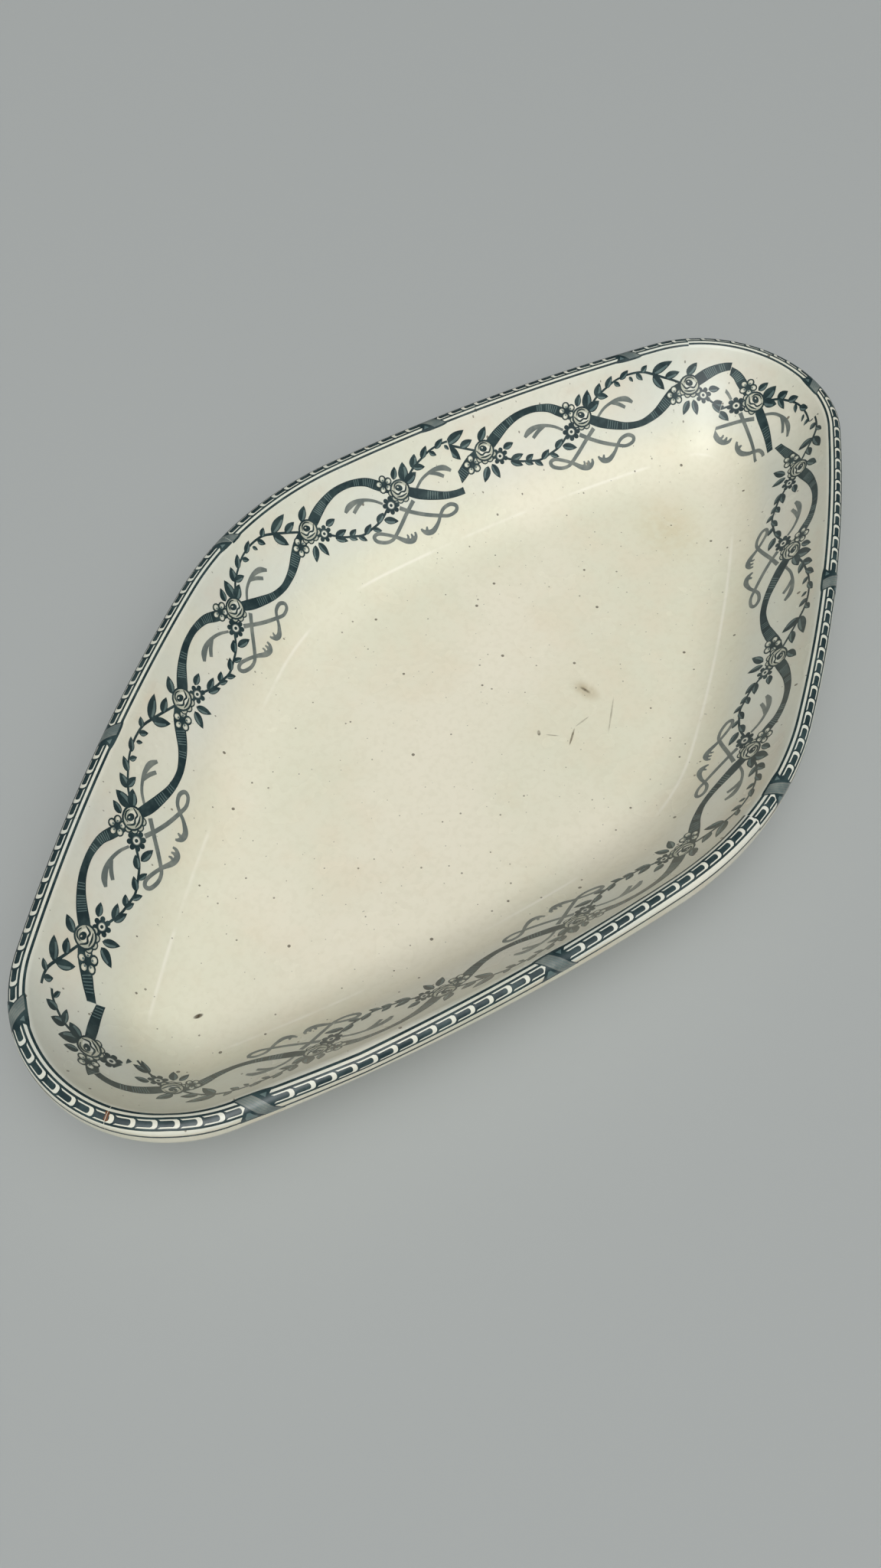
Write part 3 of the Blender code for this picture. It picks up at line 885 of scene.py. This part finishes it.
def rose(strip, x, y, radius, turn):
    """A full rose: a pale disc of folded petals about a dark heart, with a collar of petals on one side."""
    for step in COLLAR_STEPS:
        petals(strip, x, y, radius, turn + step, COLLAR_PETALS)
    discs(strip, x, y, radius, ROSE_DISCS)
    for fold in ROSE_FOLDS:
        strip.stroke([(x + a * radius, y + b * radius, w * radius) for a, b, w in fold], INK, FOLD_STEPS)
    discs(strip, x, y, radius, ROSE_HEART)


def moved(path, x, fullness=1.0):
    return [(px + x, py, width * fullness) for px, py, width in path]


# The garland's plate, in millimetres: one repeat runs from a rose of the first kind over one of the second
REPEAT = 62.0
SECOND_ROSE = 29.0
ROSE_RADIUS = 2.9

OUTER_RIBBON = (
    (2.0, 0.6, 2.2), (5.5, 3.0, 2.7), (8.3, 4.9, 2.3), (11.6, 5.85, 1.9), (14.5, 6.05, 1.8),
    (17.8, 5.65, 2.0), (21.2, 4.45, 2.4), (24.0, 2.95, 2.9), (26.4, 1.35, 3.0), (28.5, 0.0, 2.4),
)
INNER_RIBBON = (
    (-31.0, 0.0, 2.4), (-28.1, -1.4, 2.9), (-25.4, -3.3, 3.0), (-22.2, -5.2, 2.5), (-18.8, -6.35, 2.0),
    (-15.9, -6.7, 1.8), (-12.0, -6.15, 2.0), (-8.1, -4.65, 2.5), (-4.6, -2.9, 2.8), (-2.0, -1.2, 2.4),
)
UPPER_STEM = (
    (-30.6, 0.8, 0.4), (-26.4, 3.2, 0.42), (-23.2, 5.0, 0.45), (-20.3, 6.35, 0.42), (-16.4, 6.85, 0.38),
    (-12.5, 6.5, 0.36), (-9.5, 5.5, 0.38), (-5.6, 3.75, 0.4), (-2.7, 1.5, 0.4),
)
LOWER_STEM = (
    (5.0, -3.0, 0.4), (8.3, -5.5, 0.42), (11.6, -6.65, 0.4), (15.0, -7.3, 0.4),
    (17.8, -6.65, 0.4), (20.7, -5.75, 0.4), (24.6, -3.4, 0.4),
)
# Leaves as base, tip and width
FIRST_LEAVES = (
    ((0.7, 3.0), (-0.8, 6.1), 1.5), ((-1.9, 1.4), (-3.3, 6.4), 2.3), ((-2.0, 1.0), (-6.1, 2.6), 2.1),
    ((-5.5, 3.7), (-7.3, 7.1), 1.8), ((-5.6, 4.1), (-9.0, 2.9), 1.5),
)
UPPER_LEAVES = (
    ((-26.6, 3.1), (-30.6, 3.8), 1.7), ((-23.1, 5.2), (-29.1, 7.0), 2.1), ((-23.2, 4.6), (-25.8, 0.0), 1.9),
    ((-20.0, 6.3), (-22.0, 7.8), 1.3), ((-18.4, 6.4), (-20.0, 4.2), 1.2), ((-16.2, 6.2), (-17.1, 4.6), 0.8),
    ((-13.4, 6.2), (-16.3, 8.0), 1.4), ((-11.5, 6.0), (-13.2, 4.5), 1.1), ((-8.8, 5.1), (-11.2, 7.9), 1.5),
)
LOWER_LEAVES = (
    ((7.7, -5.7), (3.8, -7.4), 1.6), ((9.8, -5.8), (7.0, -3.9), 1.5), ((11.8, -6.7), (9.4, -8.2), 1.1),
    ((14.4, -7.4), (11.6, -5.4), 1.4), ((16.5, -6.9), (14.5, -9.1), 1.2), ((18.8, -6.3), (16.2, -5.2), 1.3),
    ((19.2, -6.2), (17.0, -7.9), 1.2), ((22.8, -4.8), (18.9, -4.3), 1.5), ((23.0, -5.0), (19.9, -7.2), 1.4),
)
SECOND_LEAVES = (
    ((0.6, 2.7), (-2.2, 5.9), 1.8), ((-0.9, -4.0), (-1.8, -8.3), 1.5), ((0.3, -4.2), (2.8, -7.9), 1.7),
    ((-5.2, -1.2), (-8.4, -0.6), 1.5),
)
# Scrolls at a first rose, as brush lines
PLUMES = (
    (
        (-4.2, -1.7, 0.5), (-6.6, 0.1, 0.6), (-9.0, 1.0, 0.65),
        (-11.5, 1.3, 0.9), (-13.9, 0.8, 1.15), (-15.6, -0.6, 0.6),
    ),
    ((-9.5, 0.85, 0.4), (-11.4, 0.1, 0.8), (-13.1, -1.3, 0.7)),
    (
        (6.2, -1.8, 0.5), (8.3, -0.2, 0.6), (10.7, 0.85, 0.7),
        (13.3, 1.2, 1.0), (15.5, 0.7, 1.2), (17.1, -0.4, 0.6),
    ),
    ((11.0, 0.6, 0.4), (13.0, 0.0, 0.8), (14.9, -1.3, 0.7)),
)
TAILS = (
    (
        (-2.4, -3.9, 0.9), (0.7, -6.2, 0.8), (3.6, -8.6, 0.8), (6.4, -10.7, 0.75), (7.9, -11.4, 0.7),
        (9.9, -11.3, 0.75), (12.0, -10.2, 0.8), (12.3, -8.9, 0.8), (10.9, -8.5, 0.75), (8.5, -9.6, 0.7),
        (6.2, -11.1, 0.75), (4.0, -12.9, 1.1), (2.1, -13.4, 1.1), (0.8, -12.6, 0.7), (0.6, -11.5, 0.4),
    ),
    (
        (2.1, -4.3, 0.9), (-0.7, -6.4, 0.8), (-4.1, -8.5, 0.8), (-8.1, -10.4, 0.75), (-10.4, -11.2, 0.7),
        (-12.6, -10.8, 0.75), (-13.2, -9.6, 0.8), (-11.8, -8.6, 0.8), (-9.6, -8.9, 0.75), (-8.0, -10.2, 0.7),
        (-6.6, -11.8, 0.75), (-4.4, -13.2, 1.1), (-2.6, -13.0, 1.1), (-1.6, -12.0, 0.6), (-1.5, -11.4, 0.4),
    ),
    ((2.2, -13.2, 0.7), (1.8, -12.4, 0.6), (1.9, -11.6, 0.3)),
    ((3.4, -12.8, 0.6), (3.0, -12.1, 0.5), (3.1, -11.4, 0.3)),
    ((-2.8, -12.9, 0.7), (-2.9, -12.2, 0.6), (-3.2, -11.5, 0.3)),
)
# Paler patches of the ribbons, as shares of their length, drawn as fine lines across
RIBBON_LIGHTS = ((0.17, 0.28), (0.32, 0.37), (0.64, 0.7), (0.74, 0.85))
HATCH_STEP = 0.42
HATCH_WIDTH = 0.22
HATCH_REACH = 0.4
HATCH_FINENESS = 12


def ribbon(strip, path):
    strip.stroke(path, INK)
    line = smooth(path, HATCH_FINENESS)
    for start, end in RIBBON_LIGHTS:
        last = None
        for (x, y, width), (after_x, after_y, _) in zip(line, line[1:]):
            share = (x - path[0][0]) / (path[-1][0] - path[0][0])
            if not start < share < end or (last and math.dist(last, (x, y)) < HATCH_STEP):
                continue
            last = (x, y)
            side = Vector((y - after_y, after_x - x)).normalized() * width * HATCH_REACH
            ends = [(x + way * side.x, y + way * side.y, HATCH_WIDTH) for way in (-1, 1)]
            strip.stroke(ends, TINT, 1)


def draw_ribbons(strip, x, scrolls):
    """The scrolls, ribbons and stems of one repeat of the garland, with its first rose at x."""
    for path in scrolls:
        strip.stroke(moved(path, x, SCROLL_FULLNESS), SCROLL)
    ribbon(strip, moved(OUTER_RIBBON, x))
    ribbon(strip, moved(INNER_RIBBON, x))
    for path in (UPPER_STEM, LOWER_STEM):
        strip.stroke(moved(path, x, STEM_FULLNESS), INK)


# Flowers beside a rose: place and radius of the pale one and of the dark one, the dark one's count
# of petals, and the turn of the rose's collar
FIRST_CLUSTER = ((3.7, 2.7, 2.4), (4.1, -2.9, 2.6), 8, -0.9)
SECOND_CLUSTER = ((4.5, -2.3, 2.6), (-3.7, -2.8, 2.4), 7, -1.6)


def cluster(strip, x, pale, dark, dark_count, collar):
    flower(strip, x + pale[0], *pale[1:], PALE_COUNT, PALE_TURN, PALE_PETALS, PALE_RINGS)
    flower(strip, x + dark[0], *dark[1:], dark_count, DARK_TURN, DARK_PETALS, DARK_RINGS)
    rose(strip, x, 0.0, ROSE_RADIUS, collar)


def draw_flowers(strip, x):
    """The leaves and flowers of one repeat, over the ribbons of all of them."""
    second = x + SECOND_ROSE
    groups = ((x, FIRST_LEAVES), (x, UPPER_LEAVES), (x, LOWER_LEAVES), (second, SECOND_LEAVES))
    for origin, leaves in groups:
        for base, tip, width in leaves:
            leaf(strip, (base[0] + origin, base[1]), (tip[0] + origin, tip[1]), width)
    cluster(strip, x, *FIRST_CLUSTER)
    cluster(strip, second, *SECOND_CLUSTER)


# Roses round the garland, as distance along its line and run down from the crest: the kinds take turns
GARLAND_RUN = 13.2
GARLAND_STEP_ALONG = 2.0
GARLAND_STEP_ACROSS = 4.0
SECOND_AND_FIRST_ROSES = (
    ((13.5, 17.3), (43.0, 12.2)), ((71.5, 12.5), (103.0, 12.0)), ((133.5, 12.6), (166.3, 13.5)),
    ((195.0, 12.0), (231.5, 12.5)), ((261.5, 11.2), (291.5, 13.0)), ((310.2, 12.0), (343.5, 12.5)),
    ((374.0, 12.0), (400.5, 13.0)), ((428.5, 11.5), (459.0, 12.8)), ((489.5, 12.0), (523.0, 13.0)),
    ((553.5, 12.0), (578.4, 14.5)),
)
# Where the printed paper was pieced, and the repeat that lost its scrolls there
GARLAND_CUTS = (-1.0, 275.0, 300.4, 383.3, 566.7)
TORN_REPEAT = 9
SEAM = 0.1


def blend(places, values, place):
    """Straight blend between the values at rising places."""
    number, share = stretch(places, place)
    return values[number] + (values[number + 1] - values[number]) * share


def roses_between(start, end):
    """A strip's roses: places on the plate, along the line and down the wall, carried on past its ends."""
    found = []
    for number, (second, first) in enumerate(SECOND_AND_FIRST_ROSES):
        x = number * REPEAT
        found += [(x - REPEAT + SECOND_ROSE, *second), (x, *first)]
    found = [rose for rose in found if start < rose[1] < end]
    (first_x, first_along, first_run), (last_x, last_along, last_run) = found[0], found[-1]
    before = (first_x - REPEAT, first_along - REPEAT, first_run)
    after = (last_x + REPEAT, last_along + REPEAT, last_run)
    return zip(before, *found, after)


def garland_place(line, cuts, plate, along, runs, x, y):
    """Distance along the line of a place on the plate. Past the last roses the paper keeps its length."""
    distance = blend(plate, along, x)
    for cut, rose, side in ((cuts[0], along[1], -1), (cuts[1], along[-2], 1)):
        if (distance - rose) * side > 0:
            radius = line.place(cut * MM)[1]
            inset = SECTION.at((blend(along, runs, distance) - y) * MM)[0].x
            return rose + (distance - rose) * (radius - line.inset) / (radius - inset)
    return distance


def make_garlands():
    line = Line(SECTION.at(GARLAND_RUN * MM)[0].x)
    total = line.total / MM
    ends = GARLAND_CUTS[1:] + (GARLAND_CUTS[0] + total,)
    for number, (start, end) in enumerate(zip(GARLAND_CUTS, ends), 1):
        plate, along, runs = roses_between(start, end)
        strip = Strip(
            line,
            start,
            end - SEAM,
            partial(garland_place, line, (start, end), plate, along, runs),
            lambda distance, y, a=along, r=runs: blend(a, r, distance) - y,
            GARLAND_STEP_ALONG,
            GARLAND_STEP_ACROSS,
        )
        repeats = range(-1, len(SECOND_AND_FIRST_ROSES) + 1)
        for repeat in repeats:
            torn = repeat % len(SECOND_AND_FIRST_ROSES) == TORN_REPEAT
            draw_ribbons(strip, repeat * REPEAT, () if torn else TAILS + PLUMES)
        for repeat in repeats:
            draw_flowers(strip, repeat * REPEAT)
        strip.finish(f"garland_print_{number}", f"garland_strip_{number}")


# Border, across from the crest in millimetres: lines as place and width, the middle one holding the chain
CHAIN_PLACE = -1.1
BORDER_LINES = ((1.05, 0.55), (CHAIN_PLACE, 2.6), (-4.1, 0.55))
BORDER_LINE_INSET = 0.00125
BORDER_STEP_ALONG = 1.5
BORDER_STEP_ACROSS = 0.3
LINK_PITCH = 4.1
LINK_HALF_WIDTH = 0.85
LINK_START = 0.6
BAR_HALF_WIDTH = 0.58
BAR_GAP = 0.75
LINK_ROUND = 0.6
LINK_ROWS = 8
BINDING_HALF = 2.5
# The wound ribbon's leading edge as place along and place across, and its dark folds as outlines
BAND_EDGE = ((-3.8, 1.3), (-2.0, -0.7), (-0.4, -2.6), (1.3, -4.6))
BAND_WIDTH = 3.4
BAND_LINE = 0.35
BAND_HATCH = (0.2, 0.4, 0.6, 0.8)
HATCH_LINE = 0.14
BINDING_TOP = ((-4.3, 1.05, 0.5), (-2.6, 1.35, 0.5), (1.6, 1.35, 0.5), (4.2, 1.05, 0.5))
BINDING_FOLDS = (
    (((-2.0, -0.6), (-2.8, -1.7), (-3.5, -3.1), (-3.8, -4.5), (1.2, -4.5), (-0.4, -2.6)), INK),
    (((-2.2, -2.0), (-1.6, -2.0), (-0.7, -3.2), (-0.2, -4.1), (-2.6, -4.1), (-2.7, -3.0)), TINT),
    (((-0.5, 1.3), (3.9, 1.2), (3.1, 0.4), (2.3, -0.7), (1.7, -1.0), (0.6, 0.3)), INK),
    (((1.2, 0.7), (2.6, 0.7), (2.0, -0.2)), TINT),
)
BINDINGS = (38.6, 102.7, 169.2, 233.9, 308.0, 367.5, 428.2, 495.6, 558.9, 627.5)
BORDER_CUTS = (10.25, 158.8, 348.5, 495.0)
# How far each strip's print wanders inwards: the first along its length, the others evenly
DRIFT_PLACES = (10.0, 22.0, 43.0, 60.0, 75.0, 100.0, 125.0, 140.0, 158.0)
FIRST_DRIFTS = (0.0, 0.5, -0.5, -1.1, -0.7, -0.1, 0.6, 0.9, 0.9)
EVEN_DRIFTS = (0.0, 0.0, 0.35, 0.0)
# A chip through the glaze where the last strip meets the first
CHIP = (
    (-0.5, 0.1), (0.1, 0.2), (0.5, -0.3), (0.4, -1.0), (0.6, -1.5), (0.0, -1.9), (-0.4, -1.4), (-0.3, -0.8),
)


def bulge(across, half_width):
    """How far a round end of this half width stands out, across from its middle."""
    return LINK_ROUND * half_width / LINK_HALF_WIDTH * math.sqrt(max(0.0, 1 - (across / half_width) ** 2))


def rounded(strip, left, right, half_width, tone):
    """A bar along the chain, hollow at its start to clear the link before and round at its end."""
    starts, ends = [], []
    for row in range(LINK_ROWS + 1):
        across = half_width * (2 * row / LINK_ROWS - 1)
        starts.append((left + bulge(across, LINK_HALF_WIDTH), CHAIN_PLACE + across))
        ends.append((right + bulge(across, half_width), CHAIN_PLACE + across))
    strip.shape(ends + starts[::-1], tone)


def link(strip, start, end):
    """One link of the chain: a dark bar in a pale loop that is widest at its end."""
    rounded(strip, start + LINK_START, end, LINK_HALF_WIDTH, BARE)
    rounded(strip, start, end - BAR_GAP, BAR_HALF_WIDTH, INK)


def band(at, start, end):
    """The wound ribbon's outline between two places across its width."""
    first = [(at + x + start, y) for x, y in BAND_EDGE]
    second = [(at + x + end, y) for x, y in BAND_EDGE]
    return first + second[::-1]


def binding(strip, at):
    """The ribbon wound round the border: a hatched band between two dark folds."""
    for outline, tone in BINDING_FOLDS:
        strip.shape([(at + x, y) for x, y in outline], tone)
    strip.shape(band(at, -BAND_LINE, BAND_WIDTH + BAND_LINE), INK)
    strip.shape(band(at, 0.0, BAND_WIDTH), SCROLL)
    for share in BAND_HATCH:
        strip.stroke([(at + x + share * BAND_WIDTH, y, HATCH_LINE) for x, y in BAND_EDGE], TINT)
    strip.stroke([(at + x, y, width) for x, y, width in BINDING_TOP], INK)


def make_borders():
    line = Line(BORDER_LINE_INSET)
    total = line.total / MM
    places = [at + turn * total for turn in (-1, 0, 1) for at in BINDINGS]
    ends = BORDER_CUTS[1:] + (BORDER_CUTS[0] + total,)
    for number, (start, end) in enumerate(zip(BORDER_CUTS, ends), 1):
        drifts = FIRST_DRIFTS if number == 1 else (EVEN_DRIFTS[number - 1],) * len(DRIFT_PLACES)
        strip = Strip(
            line,
            start,
            end - SEAM,
            lambda x, y: x,
            lambda distance, y, d=drifts: y + blend(DRIFT_PLACES, d, distance),
            BORDER_STEP_ALONG,
            BORDER_STEP_ACROSS,
        )
        for place, width in BORDER_LINES:
            low, high = place - width / 2, place + width / 2
            strip.shape([(start, low), (end, low), (end, high), (start, high)], INK)
        for here, there in zip(places, places[1:]):
            room = there - here - 2 * BINDING_HALF
            count = round(room / LINK_PITCH)
            step = room / count
            for bar in range(count):
                left = here + BINDING_HALF + step * bar
                link(strip, left, left + step)
        for at in places:
            binding(strip, at)
        for at in (BORDER_CUTS[0], BORDER_CUTS[0] + total):
            strip.shape([(at + x, y) for x, y in CHIP], RUST)
        strip.finish(f"border_print_{number}", f"border_strip_{number}")


make_body()
make_foot()
make_garlands()
make_borders()

# A plain floor
FLOOR_SIZE = 40.0
FLOOR_COLOUR = (172, 175, 174)
FLOOR_ROUGHNESS = 0.9
FLOOR_SPECULAR = 0.1
floor_mesh = bmesh.new()
bmesh.ops.create_grid(floor_mesh, x_segments=1, y_segments=1, size=FLOOR_SIZE / 2)
floor_data = bpy.data.meshes.new("floor")
floor_mesh.to_mesh(floor_data)
floor_mesh.free()
floor = bpy.data.objects.new("floor", floor_data)
bpy.context.scene.collection.objects.link(floor)
floor_shader = Shader("floor")
floor_shader.principled["Base Color"].default_value = linear(*FLOOR_COLOUR)
floor_shader.principled["Roughness"].default_value = FLOOR_ROUGHNESS
floor_shader.principled["Specular IOR Level"].default_value = FLOOR_SPECULAR
floor_data.materials.append(floor_shader.material)

# Soft daylight from a wide patch of sky on the camera's side; the camera itself sees a plain backdrop
SKY_DIRECTION = (-0.325, -0.348, 0.879)
SKY_COLOUR = (0.985, 1.0, 1.0, 1.0)
SKY_PEAK = 4.75
SKY_LEAST = 0.06
SKY_NARROWNESS = 9.0
BACKDROP_STRENGTH = 0.62
world = bpy.data.worlds.new("studio")
bpy.context.scene.world = world
world.use_nodes = True
sky = Nodes(world.node_tree)
places = {0: sky.coordinates["Generated"], 1: SKY_DIRECTION}
toward = sky.node("VectorMath", places, operation="DOT_PRODUCT")["Value"]
patch = sky.maths("POWER", sky.maths("MAXIMUM", toward, 0.0), SKY_NARROWNESS)
strength = sky.maths("MULTIPLY_ADD", patch, SKY_PEAK, SKY_LEAST)
daylight = sky.node("Background", {"Color": SKY_COLOUR, "Strength": strength})[0]
backdrop = sky.node("Background", {"Strength": BACKDROP_STRENGTH})[0]
seen = sky.node("LightPath")["Is Camera Ray"]
either = sky.node("MixShader", {"Fac": seen, 1: daylight, 2: backdrop})[0]
sky.links.new(either, sky.nodes["World Output"].inputs["Surface"])

# A round soft lamp that looks at the dish
KEY_PLACE = Vector((-0.50, -0.34, 1.04))
KEY_SIZE = 0.8
KEY_POWER = 1.8
KEY_COLOUR = (1.0, 0.985, 0.96)
key_data = bpy.data.lights.new("key", "AREA")
key_data.shape = "DISK"
key_data.size = KEY_SIZE
key_data.energy = KEY_POWER
key_data.color = KEY_COLOUR
key = bpy.data.objects.new("key", key_data)
key.location = KEY_PLACE
key.rotation_euler = (Vector((0, 0, HEIGHT / 2)) - KEY_PLACE).to_track_quat("-Z", "Y").to_euler()
bpy.context.scene.collection.objects.link(key)

# The camera, turned about +Z, tipped down and rolled, with its lens as the picture's height in pixels
IMAGE_HEIGHT = 2048
FOCAL_PIXELS = 1850
SENSOR = 36.0
CLIP_START = 0.01
AZIMUTH = math.radians(-53.893)
ELEVATION = math.radians(54.704)
ROLL = math.radians(0.94)
CAMERA_PLACE = Vector((-0.17808, -0.11757, HEIGHT + 0.24812))
camera_data = bpy.data.cameras.new("camera")
camera_data.sensor_width = SENSOR
camera_data.lens = SENSOR * FOCAL_PIXELS / IMAGE_HEIGHT
camera_data.clip_start = CLIP_START
camera = bpy.data.objects.new("camera", camera_data)
turned = Matrix.Rotation(AZIMUTH, 4, "Z") @ Matrix.Rotation(math.pi / 2 - ELEVATION, 4, "X")
camera.matrix_world = Matrix.Translation(CAMERA_PLACE) @ turned @ Matrix.Rotation(ROLL, 4, "Z")
bpy.context.scene.collection.objects.link(camera)
bpy.context.scene.camera = camera
bpy.context.scene.view_settings.view_transform = "Standard"
